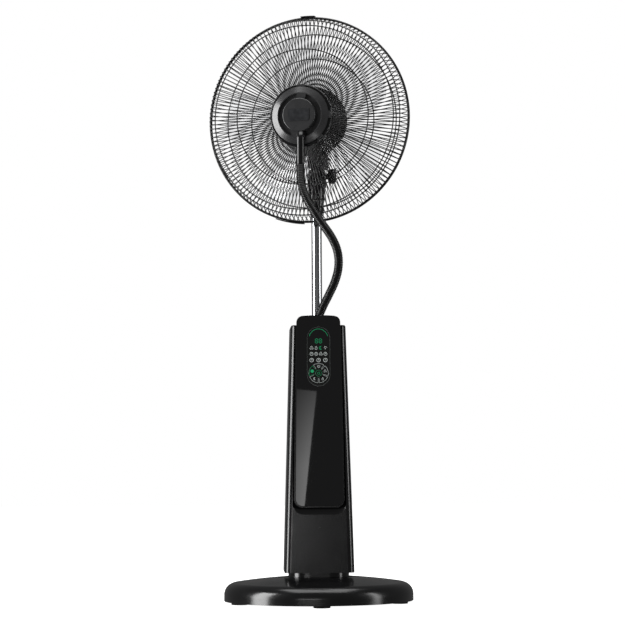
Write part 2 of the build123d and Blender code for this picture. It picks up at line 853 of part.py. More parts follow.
def motor_front_cover():
    back = -motor_seam
    face = -plate_depth - plate_thick
    wall = motor_wall
    cover = spun((neck_ring_radius - 6, face + 10), (neck_ring_radius, face + 10), (neck_ring_radius, face),
                 (motor_radius - 6, face), (motor_radius, face - 6), (motor_radius, back),
                 (motor_radius - wall, back), (motor_radius - wall, face - 6),
                 (motor_radius - 7, face - wall),
                 (bearing_radius + 3, face - wall), (bearing_radius + 3, face - bearing_width - 1),
                 (bearing_radius + slip / 2, face - bearing_width - 1),
                 (bearing_radius + slip / 2, face + 0.5),
                 (shaft_radius + 1, face + 0.5), (shaft_radius + 1, face + 2.5),
                 (neck_ring_radius - 6, face + 2.5))
    return on_fan(cover)


def motor_rear_cover():
    seam = -motor_seam
    end = -motor_end
    wall = motor_wall
    body = spun((0, seam), (motor_radius, seam), (motor_radius, end + 34), (motor_radius - 3, end + 14),
                (motor_radius - 13, end), (0, end))
    rims = [e for e in body.edges() if e.length > 100 and e.center().Z < seam - 10]
    body = fillet(rims, 6)
    inner = spun((0, seam), (motor_radius - wall, seam), (motor_radius - wall, end + 34),
                 (motor_radius - wall - 3, end + 14), (motor_radius - wall - 12, end + wall), (0, end + wall))
    inner_rims = [e for e in inner.edges() if e.length > 100 and e.center().Z < seam - 10]
    inner = fillet(inner_rims, 5)
    boss = Pos(0, 0, end + 1) * Cylinder(bearing_radius + 3, rear_bearing_front() - end - 1, align=on_end)
    cover = body - inner + (boss & body)
    seat = Cylinder(bearing_radius + slip / 2, bearing_width + 1, align=on_end)
    cover -= Pos(0, 0, rear_bearing_front() - bearing_width) * seat
    slot = Pos(27, 0, end - 1) * extrude(SlotOverall(18, 3), 12)
    for piece in around(slot, 16):
        cover -= piece
    return on_fan(cover)


def rear_bearing_front():
    return -motor_seam - 38


def stator():
    back = -motor_seam - rotor_back
    front = -motor_seam + rotor_front
    core = pipe((0, 0, back), (0, 0, front), motor_radius - motor_wall, rotor_radius + rotor_gap)
    coils = [pipe((0, 0, low), (0, 0, low + 8), 38, 26) for low in (back - 8, front)]
    return on_fan(joined(core, *coils))


def motor_rotor():
    back = -motor_seam - rotor_back
    front = -motor_seam + rotor_front
    back_end = rear_bearing_front() - bearing_width + 0.5
    shaft = rod((0, 0, back_end), (0, 0, blade_plane + 16), shaft_radius)
    core = pipe((0, 0, back), (0, 0, front), rotor_radius, shaft_radius)
    return on_fan(joined(shaft, core))


def motor_bearings():
    places = (-plate_depth - plate_thick - bearing_width, rear_bearing_front() - bearing_width)
    rings = [pipe((0, 0, low), (0, 0, low + bearing_width), bearing_radius, shaft_radius + running)
             for low in places]
    return on_fan(joined(*rings))


def wire_path(points, radii):
    """A wire's centreline, in (radius, forward) points, in the plane X = 0."""
    return FilletPolyline(*[(0, radius, forward) for radius, forward in points], radius=radii)


def wires(path):
    start = path.position_at(0)
    section = Plane(origin=start, z_dir=path.tangent_at(0)) * Circle(wire_radius)
    return around(sweep(section, path=path), wire_count)


def hoop(radius, forward, thick):
    return Pos(0, 0, forward) * Torus(radius, thick)


def forward_at(points, radius):
    """How far forward a wire's run is at a radius, away from its bends."""
    for (r0, f0), (r1, f1) in zip(points, points[1:]):
        if r0 <= radius <= r1:
            return f0 + (f1 - f0) * (radius - r0) / (r1 - r0)


def slope_at(points, radius):
    for (r0, f0), (r1, f1) in zip(points, points[1:]):
        if r0 <= radius <= r1:
            return math.atan2(f1 - f0, r1 - r0)


def inner_hoop(points, radius, side):
    """A hoop that the wires are welded to, on the inner side of the grille."""
    away = side * (wire_radius + hoop_radius)
    slope = slope_at(points, radius)
    forward = forward_at(points, radius)
    return hoop(radius - away * math.sin(slope), forward + away * math.cos(slope), hoop_radius)


def front_grille():
    bars = wires(wire_path(front_wire, [260, 14]))
    hoops = [inner_hoop(front_wire, radius, -1) for radius in front_hoops]
    return on_fan(joined(*bars, *hoops, hoop(rim_radius, rim_wire, rim_wire)))


def rear_grille():
    bars = wires(wire_path(rear_wire, [200, 30]))
    hoops = [inner_hoop(rear_wire, radius, 1) for radius in rear_hoops]
    plate = pipe((0, 0, -plate_depth - plate_thick), (0, 0, -plate_depth), plate_radius,
                 neck_ring_radius + slip)
    return on_fan(joined(*bars, *hoops, hoop(rim_radius, -rim_wire, rim_wire), plate))


def grille_nut():
    body = pipe((0, 0, -plate_depth), (0, 0, -plate_depth + 9), neck_ring_radius + 10,
                neck_ring_radius + running)
    for i in range(12):
        angle = 2 * math.pi * i / 12
        x = (neck_ring_radius + 13) * math.cos(angle)
        y = (neck_ring_radius + 13) * math.sin(angle)
        body -= rod((x, y, -plate_depth), (x, y, -plate_depth + 9), 5)
    return on_fan(body)


def rim_clips():
    band = Circle(rim_radius + rim_wire + 2.4) - Circle(rim_radius + rim_wire + 0.4)
    latch = Pos(0, 0, -7) * extrude(band & sector(-109, -93), 14)
    hook = Pos(0, 0, -6) * extrude(band & sector(86, 94), 12)
    return on_fan(joined(latch, hook))


def sector(first, last):
    """A wedge that covers the grille between two directions, in degrees."""
    reach = 2 * rim_radius
    ends = [(reach * math.cos(math.radians(a)), reach * math.sin(math.radians(a))) for a in (first, last)]
    return Polygon((0, 0), *ends, align=None)


def blade_section(radius, chord, pitch, lean):
    """A thin blade section across the blade at one radius."""
    place = Plane(origin=(0, radius, blade_plane), x_dir=(1, 0, 0), z_dir=(0, 1, 0))
    return place * Pos(lean, 0) * Rot(0, 0, pitch) * Rectangle(chord, blade_thick)


def fan_blade():
    sections = [
        blade_section(blade_hub_radius - 4, 34, 38, 0),
        blade_section(75, 78, 30, 6),
        blade_section(125, 108, 24, 14),
        blade_section(blade_radius + 4, 118, 17, 22),
    ]
    vane = loft(sections)
    vane &= rod((0, 0, blade_plane - 45), (0, 0, blade_plane + 45), blade_radius)
    low = blade_plane - hub_back
    hub = rod((0, 0, low), (0, 0, blade_plane + hub_front), blade_hub_radius)
    hub = fillet(hub.edges().group_by(Axis.Z)[-1], 6)
    hub -= rod((0, 0, low), (0, 0, blade_plane + hub_front - 4), blade_hub_radius - 3)
    hub += rod((0, 0, low), (0, 0, blade_plane + hub_front - 2), shaft_radius + 5)
    wheel = hub
    for piece in around(vane, blade_count, blade_turn):
        wheel += piece - rod((0, 0, blade_plane - 40), (0, 0, blade_plane + 40), blade_hub_radius - 2)
    return on_fan(wheel - rod((0, 0, blade_plane - 30), (0, 0, blade_plane + 30), shaft_radius + 0.02))


def blade_nut():
    start = blade_plane + hub_front
    nut = rod((0, 0, start), (0, 0, start + 17), 13)
    nut = fillet(nut.edges().group_by(Axis.Z)[-1], 8)
    return on_fan(nut - rod((0, 0, start), (0, 0, start + 7), shaft_radius + 0.02))


def front_hub_plate():
    plate = rod((0, 0, hub_plate_back), (0, 0, hub_plate_front), hub_plate_radius)
    plate = fillet(plate.edges().group_by(Axis.Z)[-1], 2)
    return on_fan(plate - rod((0, 0, hub_plate_back), (0, 0, hub_plate_front - 3), hub_plate_radius - 6))


def mist_disc():
    rim = disc_radius
    body = spun((0, hub_plate_front), (rim, hub_plate_front), (rim, hub_plate_front + 4),
                (slot_outer + 2, disc_front), (cap_radius + slip, disc_front - 2), (0, disc_front - 2))
    for turn in (88, 180, 0, -48):
        lug = Pos(rim - 2, 0) * RectangleRounded(14, 15, 3)
        body += Rot(0, 0, turn) * Pos(0, 0, hub_plate_front) * extrude(lug, 3.5)
    for first, last in ((98, 245), (-88, 72)):
        slot = (Circle(slot_outer) - Circle(slot_inner)) & sector_fan(first, last)
        body -= Pos(0, 0, hub_plate_front + 2) * extrude(slot, 20)
    return on_fan(body - pipe_form(pipe_radius + slip))


def sector_fan(first, last):
    """A many-sided wedge wider than half a turn."""
    steps = 8
    turns = [math.radians(first + (last - first) * i / steps) for i in range(steps + 1)]
    return Polygon((0, 0), *[(100 * math.cos(t), 100 * math.sin(t)) for t in turns], align=None)


def nozzle_cap():
    cap = rod((0, 0, disc_front - 2), (0, 0, cap_front), cap_radius)
    tail = Polygon((-cap_radius * 0.93, -cap_radius * 0.37), (-12, -slot_outer + 1), (-7, -slot_outer - 1),
                   (cap_radius * 0.4, -cap_radius * 0.91), align=None)
    cap = fillet(cap.edges().group_by(Axis.Z)[-1], 2)
    cap += Pos(0, 0, disc_front) * extrude(tail, cap_front - disc_front - 2)
    return on_fan(cap - pipe_form(pipe_radius + slip))


def badge_plate():
    plate = Pos(0, 0, cap_front) * extrude(RectangleRounded(badge_w, badge_height, 3), badge_thick)
    return on_fan(plate)


def pipe_form(radius):
    """The down pipe's solid at a radius, from its lower end round its bend into the disc."""
    low = pipe_bottom - head_z
    high = pipe_top - head_z
    path = FilletPolyline((pipe_x, low, pipe_forward), (pipe_x, high, pipe_forward),
                          (pipe_x, high, hub_plate_front + 2), radius=pipe_bend)
    return sweep(Plane(origin=path.position_at(0), z_dir=path.tangent_at(0)) * Circle(radius), path=path)


def down_pipe():
    return on_fan(pipe_form(pipe_radius))


# ---- Hose ----


def hose_radii(points):
    """As large a bend at each point as its two runs allow."""
    radii = []
    for before, here, after in zip(points, points[1:], points[2:]):
        into = Vector(*here) - Vector(*before)
        out = Vector(*after) - Vector(*here)
        half_turn = math.radians(into.get_angle(out)) / 2
        radii.append(0.45 * min(into.length, out.length) / math.tan(half_turn))
    return radii


def hose_pieces():
    """The hose, parted across one straight run into its lower and upper lengths."""
    radii = hose_radii(hose_route)
    path = FilletPolyline(*hose_route, radius=radii)
    tube = sweep(Plane(origin=hose_route[0], z_dir=path.tangent_at(0)) * Circle(hose_radius), path=path)
    section = math.pi * hose_radius**2
    print("hose bends", [round(r) for r in radii])
    print("hose length", round(path.length, 1), "tube volume over section", round(tube.volume / section, 1))
    start = Vector(*hose_route[hose_split])
    end = Vector(*hose_route[hose_split + 1])
    cut = Plane(origin=(start + end) * 0.5, z_dir=end - start)
    return split(tube, cut, keep=Keep.TOP), split(tube, cut, keep=Keep.BOTTOM)


def build():
    os.makedirs("parts", exist_ok=True)
    shell = tower_shell()
    hose_lower, hose_upper = hose_pieces()
    pieces = {
        "base_cover": base_cover(),
        "base_weight": base_weight(),
        "base_tray": base_tray(),
        "rubber_feet": rubber_feet(),
        "base_fasteners": base_fasteners(),
        "plinth": plinth(),
        "support_tube": support_tube(),
        "front_housing": front_housing(shell),
        "rear_housing": rear_housing(shell),
        "housing_screws": housing_screws(),
        "top_cap": top_cap(shell),
        "front_panel": front_panel(),
        "panel_lens": panel_lens(),
        "control_board": control_board(),
        "indicator_lens": indicator_lens(),
        "hose_socket": hose_socket(),
        "mist_duct": mist_duct(),
        "mist_chamber": mist_chamber(),
        "chamber_lid": chamber_lid(),
        "atomiser": atomiser(),
        "blower_housing": blower_housing(),
        "blower_impeller": blower_impeller(),
        "power_board": power_board(),
        "cord_gland": cord_gland(),
        "water_tank": water_tank(),
        "tank_cap": tank_cap(),
        "tank_valve": tank_valve(),
        "pole": pole(),
        "neck_socket": neck_socket(),
        "swivel_bush": swivel_bush(),
        "neck_housing": neck_housing(),
        "swing_motor": swing_motor(),
        "swing_pinion": swing_pinion(),
        "tilt_bolt": tilt_bolt(),
        "tilt_knob": tilt_knob(),
        "motor_bracket": motor_bracket(),
        "motor_front_cover": motor_front_cover(),
        "motor_rear_cover": motor_rear_cover(),
        "stator": stator(),
        "motor_rotor": motor_rotor(),
        "motor_bearings": motor_bearings(),
        "rear_grille": rear_grille(),
        "grille_nut": grille_nut(),
        "front_grille": front_grille(),
        "rim_clips": rim_clips(),
        "fan_blade": fan_blade(),
        "blade_nut": blade_nut(),
        "front_hub_plate": front_hub_plate(),
        "mist_disc": mist_disc(),
        "nozzle_cap": nozzle_cap(),
        "badge_plate": badge_plate(),
        "down_pipe": down_pipe(),
        "hose_lower": hose_lower,
        "hose_upper": hose_upper,
        "power_key": power_key(),
    }
    for name, turn in key_middles():
        pieces[name] = sector_key(turn)
    for name, shape in pieces.items():
        save(name, shape)
    print(len(pieces), "nodes")


build()
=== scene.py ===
import math

import bmesh
import bpy
from mathutils import Matrix, Vector


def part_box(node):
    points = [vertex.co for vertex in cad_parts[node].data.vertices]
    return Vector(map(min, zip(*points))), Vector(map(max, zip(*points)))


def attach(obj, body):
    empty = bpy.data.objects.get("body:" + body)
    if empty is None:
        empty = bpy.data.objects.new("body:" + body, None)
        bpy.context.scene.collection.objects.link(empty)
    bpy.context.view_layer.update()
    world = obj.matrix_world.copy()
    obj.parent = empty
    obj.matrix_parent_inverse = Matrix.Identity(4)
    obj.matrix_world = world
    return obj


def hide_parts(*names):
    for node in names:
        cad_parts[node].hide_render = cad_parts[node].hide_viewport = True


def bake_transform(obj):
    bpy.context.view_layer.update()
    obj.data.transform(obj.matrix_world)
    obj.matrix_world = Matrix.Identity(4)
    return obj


bl_info = {
    "name": "Misting pedestal fan",
    "version": (1, 0, 0),
    "blender": (4, 5, 0),
    "location": "3D View > Sidebar > Fan",
    "description": "Makes the finishes, hose, blades and lit panel of a misting pedestal fan",
    "category": "Object",
}

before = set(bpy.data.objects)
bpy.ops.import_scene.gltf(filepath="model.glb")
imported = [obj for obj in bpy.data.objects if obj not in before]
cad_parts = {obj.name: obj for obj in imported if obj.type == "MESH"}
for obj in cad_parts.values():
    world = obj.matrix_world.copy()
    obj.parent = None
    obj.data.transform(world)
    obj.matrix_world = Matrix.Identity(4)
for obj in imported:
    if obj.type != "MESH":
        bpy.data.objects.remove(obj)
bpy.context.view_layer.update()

mm = 0.001

# Head: how far it is swung at rest, and where the fan's plane and axis are
rest_swing = math.radians(-17)
ring_forward = 60 * mm
head_height = 1044 * mm
blade_count = 5
blade_plane = 3 * mm
blade_phase = math.radians(22)
blade_root = 26 * mm
blade_tip = 185 * mm

# Lit panel: the lens's outline, the keypad's rings, and the height of each row of signs
print_thick = 0.12 * mm
stroke = 1.1 * mm
lens_half_width = 25 * mm
lens_half_straight = 39 * mm
lens_edge_inset = 0.5 * mm
lens_edge_width = 0.55 * mm
glow_arc_inset = 4.8 * mm
digit_height = 563.4 * mm
top_row_height = 548.3 * mm
middle_row_height = 535.6 * mm
low_row_height = 522.2 * mm
keypad_height = 494 * mm
keypad_radius = 20.7 * mm
keypad_inner_radius = 10.2 * mm
key_sign_radius = 14.6 * mm
key_half_angle = 32

# Hose: its rings for each rib, the groove's profile from rib to rib, and its split above the swing joint
groove_profile = [1.0, 0.35, 0.0, 0.35]
hose_sides = 28
split_above_joint = 6 * mm

# The hose's route: from the mist pipe's lower end, round in front of the pole, to the tower's socket
hose_route = [
    (-0.039, -0.1449, 0.937),
    (-0.039, -0.1449, 0.905),
    (-0.031, -0.145, 0.873),
    (-0.015, -0.139, 0.843),
    (0.005, -0.129, 0.814),
    (0.027, -0.117, 0.786),
    (0.042, -0.102, 0.756),
    (0.045, -0.085, 0.722),
    (0.037, -0.068, 0.691),
    (0.023, -0.053, 0.662),
    (0.010, -0.042, 0.637),
    (0, -0.038, 0.612),
]


# ---- Settings that a user would change ----


def linear(code):
    """A colour's sRGB hex code as linear red, green, blue and alpha."""
    channels = [int(code[i:i + 2], 16) / 255 for i in (1, 3, 5)]
    return (*[c / 12.92 if c <= 0.04045 else ((c + 0.055) / 1.055) ** 2.4 for c in channels], 1.0)


def colour(name, code, description):
    """A colour setting with a default from a hex code."""
    return bpy.props.FloatVectorProperty(
        name=name, description=description, subtype="COLOR", size=4, min=0, max=1, default=linear(code))


def length(name, size, description):
    """A length setting in metres."""
    return bpy.props.FloatProperty(name=name, description=description, default=size, unit="LENGTH",
                                   precision=5)


class FanColours(bpy.types.PropertyGroup):
    """The colours of the fan's finishes."""
    body: colour("Body", "#0b0b0c", "Moulded housings, base and neck")
    body_worn: colour("Body, handled", "#121213", "The housings where they are rubbed")
    panel: colour("Panel", "#0b0b0c", "Gloss front panel")
    blade: colour("Blades", "#e4e5e6", "Clear blades, faintly grey")
    lit_green: colour("Lit green", "#128a58", "Display digits and live icons")
    lit_white: colour("Lit white", "#a4aaa8", "Icons and the keypad's ring")
    floor: colour("Floor", "#f4f4f3", "Studio floor")


class FanSizes(bpy.types.PropertyGroup):
    """The sizes of the pieces that are made here."""
    rib_pitch: length("Hose rib pitch", 3.6 * mm, "From one rib of the hose to the next")
    rib_depth: length("Hose rib depth", 1.1 * mm, "How far the hose's grooves go in")
    hose_radius: length("Hose radius", 9.5 * mm, "Outer radius of the mist hose")
    blade_thick: length("Blade thickness", 2.2 * mm, "Thickness of a blade's vane")


class StudioSettings(bpy.types.PropertyGroup):
    """The camera and lights."""
    lens: bpy.props.FloatProperty(name="Lens", description="Focal length", default=132.3, unit="CAMERA")
    camera_distance: length("Distance", 5.0, "From the fan's axis to the camera")
    camera_side: length("Side", -0.175, "How far the camera stands to the right of the fan's axis")
    camera_height: length("Height", 0.326, "The camera's height above the floor")
    key_power: bpy.props.FloatProperty(name="Side light", description="Power of each side softbox",
                                       default=95, unit="POWER")


# ---- Node and material helpers ----


def add_node(tree, kind, inputs=None, **settings):
    """Adds a node with its settings. Each input, named or numbered, is a value or a (node, output) pair."""
    node = tree.nodes.new(kind)
    for name, value in settings.items():
        setattr(node, name, value)
    for name, value in (inputs or {}).items():
        if isinstance(value, tuple) and isinstance(value[0], bpy.types.Node):
            tree.links.new(value[0].outputs[value[1]], node.inputs[name])
        else:
            node.inputs[name].default_value = value
    return node


def new_material(name, **values):
    """A material with one Principled shader, whose steady values are set on its own sockets."""
    material = bpy.data.materials.new(name)
    material.use_nodes = True
    tree = material.node_tree
    tree.nodes.clear()
    shader = add_node(tree, "ShaderNodeBsdfPrincipled")
    for socket, value in values.items():
        shader.inputs[socket.replace("_", " ")].default_value = value
    add_node(tree, "ShaderNodeOutputMaterial", {"Surface": (shader, "BSDF")})
    return material, tree, shader


def per_metre(pitch_mm):
    """A noise scale whose features are about this many millimetres apart."""
    return 1 / (pitch_mm * mm)


def grained(tree, shader, dark, light, rough, drift_mm, grain_mm, grain_height_mm):
    """Colour and roughness that drift slowly, and a bump for the surface's grain.

    Grain finer than about half a millimetre wouldn't show, so it is drawn that coarse or coarser.
    """
    place = add_node(tree, "ShaderNodeTexCoord")
    drift = add_node(tree, "ShaderNodeTexNoise", {"Vector": (place, "Object"), "Scale": per_metre(drift_mm),
                                                  "Detail": 5.0, "Roughness": 0.62})
    # A Mix has several sockets called A and B. Its colour pair is in places 6 and 7
    mix = add_node(tree, "ShaderNodeMix", {"Factor": (drift, "Fac"), 6: dark, 7: light}, data_type="RGBA")
    tree.links.new(mix.outputs[2], shader.inputs["Base Color"])
    spread = add_node(tree, "ShaderNodeMapRange", {
        "Value": (drift, "Fac"), "From Min": 0.3, "From Max": 0.7, "To Min": rough[0], "To Max": rough[1]})
    tree.links.new(spread.outputs["Result"], shader.inputs["Roughness"])
    grain = add_node(tree, "ShaderNodeTexNoise", {"Vector": (place, "Object"), "Scale": per_metre(grain_mm),
                                                  "Detail": 3.0, "Roughness": 0.6})
    bump = add_node(tree, "ShaderNodeBump", {"Height": (grain, "Fac"), "Distance": grain_height_mm * mm,
                                             "Strength": 0.5})
    tree.links.new(bump.outputs["Normal"], shader.inputs["Normal"])


# ---- Materials ----


def satin_abs(colours):
    # Injection-moulded ABS with a fine spark-eroded texture: broad soft highlights, slightly greyer patches.
    # The real texture is about 0.1 mm and is drawn at 1.4 mm, so that it shows
    material, tree, shader = new_material("black_abs_moulded", IOR=1.54)
    grained(tree, shader, colours.body, colours.body_worn, (0.16, 0.25), 70, 1.4, 0.02)
    return material


def piano_abs(colours):
    # ABS moulded against a polished tool: like a mirror, with the slow waviness of a large flat moulding
    material, tree, shader = new_material("piano_black_abs", IOR=1.54, Coat_Weight=0.4, Coat_Roughness=0.01)
    grained(tree, shader, colours.panel, linear("#0e0e0f"), (0.008, 0.02), 90, 60, 0.01)
    return material


def smoked_pmma(colours):
    # Smoked acrylic, polished, over a black screen print: the deepest black on the panel, with a hard gloss
    material, tree, shader = new_material("smoked_pmma_polished", IOR=1.49, Coat_Weight=0.8,
                                          Coat_Roughness=0.02)
    grained(tree, shader, linear("#050606"), linear("#0a0b0b"), (0.05, 0.10), 60, 30, 0.02)
    return material


def wire_enamel(colours):
    # Steel wire with a dipped black enamel: satin, a little thicker and duller where it ran together
    material, tree, shader = new_material("wire_black_enamel", IOR=1.5, Coat_Weight=0.25, Coat_Roughness=0.2)
    grained(tree, shader, linear("#070708"), linear("#0f0f10"), (0.28, 0.42), 35, 2.0, 0.03)
    return material


def chromed_tube(colours):
    # Drawn steel tube, polished and chrome plated: bright, with faint lengthwise draw lines
    material, tree, shader = new_material("chrome_plated_tube", Metallic=1.0)
    place = add_node(tree, "ShaderNodeTexCoord")
    stretch = add_node(tree, "ShaderNodeMapping", {"Vector": (place, "Object"), "Scale": (1, 1, 0.02)})
    lines = add_node(tree, "ShaderNodeTexNoise", {"Vector": (stretch, "Vector"), "Scale": per_metre(0.8),
                                                  "Detail": 4.0})
    tint = add_node(tree, "ShaderNodeValToRGB", {"Fac": (lines, "Fac")})
    tint.color_ramp.elements[0].color = linear("#cfd1d4")
    tint.color_ramp.elements[1].color = linear("#e6e8ea")
    tree.links.new(tint.outputs["Color"], shader.inputs["Base Color"])
    spread = add_node(tree, "ShaderNodeMapRange", {"Value": (lines, "Fac"), "To Min": 0.05, "To Max": 0.14})
    tree.links.new(spread.outputs["Result"], shader.inputs["Roughness"])
    return material


def clear_polystyrene(colours):
    # Clear polystyrene, moulded thin with a breath of grey: seen by its edges, its hub and a faint haze.
    # Vanes this thin hardly bend what is behind them, so the IOR is lower than the plastic's 1.59
    material, tree, shader = new_material("clear_polystyrene_blade", IOR=1.3, Transmission_Weight=1.0)
    grained(tree, shader, colours.blade, linear("#eeeeef"), (0.02, 0.07), 60, 18, 0.03)
    return material


def nozzle_abs(colours):
    # ABS with a hard satin lacquer: a dark grey that shows soft bands of the lights
    material, tree, shader = new_material("nozzle_lacquered_abs", IOR=1.54, Coat_Weight=0.35,
                                          Coat_Roughness=0.12)
    grained(tree, shader, linear("#2c2c2d"), linear("#363637"), (0.24, 0.32), 25, 1.2, 0.02)
    return material


def hose_epdm(colours):
    # Extruded and corrugated EPDM rubber: black and satin, with uneven sheen from rib to rib
    material, tree, shader = new_material("epdm_corrugated", IOR=1.5)
    grained(tree, shader, linear("#060606"), linear("#0d0d0d"), (0.22, 0.34), 12, 0.7, 0.02)
    return material


def foot_rubber(colours):
    # Moulded SBR rubber: matte charcoal with a scuffed, slightly pale bloom
    material, tree, shader = new_material("sbr_moulded_rubber", IOR=1.52)
    grained(tree, shader, linear("#141414"), linear("#2a2927"), (0.62, 0.85), 9, 0.8, 0.06)
    return material


def tank_as(colours):
    # Styrene-acrylonitrile, smoke tinted and lightly frosted: half clear, so its inside shows only dimly
    material, tree, shader = new_material("smoked_san_tank", IOR=1.57, Transmission_Weight=0.55)
    grained(tree, shader, linear("#2c3034"), linear("#3c4146"), (0.14, 0.26), 40, 1.0, 0.03)
    return material


def inner_pp(colours):
    # Natural polypropylene, moulded and left unpainted: waxy off-white with flow marks
    material, tree, shader = new_material("polypropylene_natural", IOR=1.49, Subsurface_Weight=0.1)
    grained(tree, shader, linear("#8d8c86"), linear("#a3a29b"), (0.42, 0.58), 30, 1.5, 0.04)
    return material


def acetal(colours):
    # Moulded acetal: dense white and slippery looking, with a fine mottle
    material, tree, shader = new_material("acetal_white", IOR=1.48, Subsurface_Weight=0.08)
    grained(tree, shader, linear("#d2d1c9"), linear("#e2e1da"), (0.28, 0.4), 14, 0.6, 0.02)
    return material


def board_fr4(colours):
    # Glass-epoxy laminate under green solder mask: the cloth's weave shows faintly through the mask
    material, tree, shader = new_material("fr4_solder_mask", IOR=1.5, Coat_Weight=0.3, Coat_Roughness=0.2)
    grained(tree, shader, linear("#0c3a1c"), linear("#14502a"), (0.3, 0.42), 10, 0.9, 0.03)
    return material


def zinc_steel(colours):
    # Pressed steel with a bright zinc plate: cool grey with cloudy spangle
    material, tree, shader = new_material("zinc_plated_steel", Metallic=1.0)
    grained(tree, shader, linear("#8f949a"), linear("#b4b8bd"), (0.28, 0.44), 6, 0.9, 0.02)
    return material


def laminated_steel(colours):
    # Stacked electrical-steel sheets under varnish: brown-grey and dull
    material, tree, shader = new_material("electrical_steel_stack", Metallic=0.9)
    grained(tree, shader, linear("#5b5650"), linear("#77716a"), (0.4, 0.55), 8, 0.5, 0.05)
    return material


def ground_steel(colours):
    # Ground bearing steel: bright, with a very slight grain
    material, tree, shader = new_material("ground_steel", Metallic=1.0)
    grained(tree, shader, linear("#b9bbbe"), linear("#d0d2d4"), (0.16, 0.26), 10, 0.4, 0.01)
    return material


def cast_iron(colours):
    # Sand-cast iron, painted thinly: rough and nearly black
    material, tree, shader = new_material("grey_iron_as_cast", Metallic=0.7)
    grained(tree, shader, linear("#2b2a29"), linear("#413e3a"), (0.6, 0.8), 8, 1.2, 0.15)
    return material


def satin_aluminium(colours):
    # Rolled aluminium sheet, etched and dark anodised: an even grey satin
    material, tree, shader = new_material("anodised_etched_sheet", Metallic=1.0)
    grained(tree, shader, linear("#4b4c4e"), linear("#5c5d60"), (0.3, 0.42), 12, 0.5, 0.02)
    return material


def lit_shape(name, tint, strength):
    """A lit shape seen through the lens, whose glow drifts a little from place to place."""
    material, tree, shader = new_material(name, Roughness=0.4, Emission_Strength=strength)
    place = add_node(tree, "ShaderNodeTexCoord")
    glow = add_node(tree, "ShaderNodeTexNoise", {"Vector": (place, "Object"), "Scale": per_metre(3),
                                                 "Detail": 1.0})
    ramp = add_node(tree, "ShaderNodeValToRGB", {"Fac": (glow, "Fac")})
    ramp.color_ramp.elements[0].color = [c * 0.8 for c in tint[:3]] + [1.0]
    ramp.color_ramp.elements[1].color = tint
    tree.links.new(ramp.outputs["Color"], shader.inputs["Base Color"])
    tree.links.new(ramp.outputs["Color"], shader.inputs["Emission Color"])
    return material


def green_led(colours):
    # Green light-emitting diodes behind a diffuser: an even glow, not a beam
    return lit_shape("green_led_glow", tuple(colours.lit_green), 0.7)


def grey_print(colours):
    # Screen-printed grey line round the lens: matte ink on the gloss
    material, tree, shader = new_material("grey_screen_print", IOR=1.5)
    grained(tree, shader, linear("#5c605f"), linear("#6e7271"), (0.4, 0.5), 10, 0.8, 0.01)
    return material


def white_led(colours):
    # White backlight through a screen-printed icon: pale and a little cool
    return lit_shape("white_led_glow", tuple(colours.lit_white), 0.85)


makers = {
    satin_abs: ("base_cover", "plinth", "front_housing", "rear_housing", "top_cap", "neck_housing",
                "neck_socket", "tilt_knob", "motor_front_cover", "motor_rear_cover", "rim_clips",
                "grille_nut", "hose_socket", "tank_cap", "down_pipe", "front_hub_plate", "motor_bracket",
                "blade_nut"),
    piano_abs: ("front_panel",),
    smoked_pmma: ("panel_lens", "indicator_lens", "key_top", "key_left", "key_lower_left", "key_lower_right",
                  "key_right", "power_key"),
    wire_enamel: ("front_grille", "rear_grille"),
    chromed_tube: ("pole",),
    clear_polystyrene: ("fan_blade",),
    nozzle_abs: ("mist_disc", "nozzle_cap"),
    hose_epdm: ("hose_lower", "hose_upper"),
    foot_rubber: ("rubber_feet", "cord_gland", "tank_valve"),
    tank_as: ("water_tank",),
    inner_pp: ("mist_duct", "mist_chamber", "chamber_lid", "blower_housing", "base_tray"),
    acetal: ("blower_impeller", "swivel_bush", "swing_pinion"),
    board_fr4: ("control_board", "power_board"),
    zinc_steel: ("support_tube", "base_fasteners", "housing_screws", "tilt_bolt", "atomiser"),
    laminated_steel: ("stator", "swing_motor"),
    ground_steel: ("motor_rotor", "motor_bearings"),
    cast_iron: ("base_weight",),
    satin_aluminium: ("badge_plate",),
}
made = {}


def finish_of(maker, colours):
    """The one material that a maker makes."""
    if maker not in made:
        made[maker] = maker(colours)
    return made[maker]


class FAN_OT_finishes(bpy.types.Operator):
    """Gives every CAD piece its real finish"""
    bl_idname = "fan.finishes"
    bl_label = "Finishes"

    def execute(self, context):
        for maker, names in makers.items():
            for name in names:
                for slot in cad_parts[name].material_slots:
                    slot.material = finish_of(maker, context.scene.fan_colours)
        return {"FINISHED"}


# ---- Stage ----


def softbox(name, place, size, power):
    """A rectangular area light that isn't itself in view."""
    light = bpy.data.lights.new(name, "AREA")
    light.shape = "RECTANGLE"
    light.size, light.size_y = size
    light.energy = power
    lamp = bpy.data.objects.new(name, light)
    lamp.location = place
    lamp.visible_camera = False
    bpy.context.scene.collection.objects.link(lamp)
    return lamp


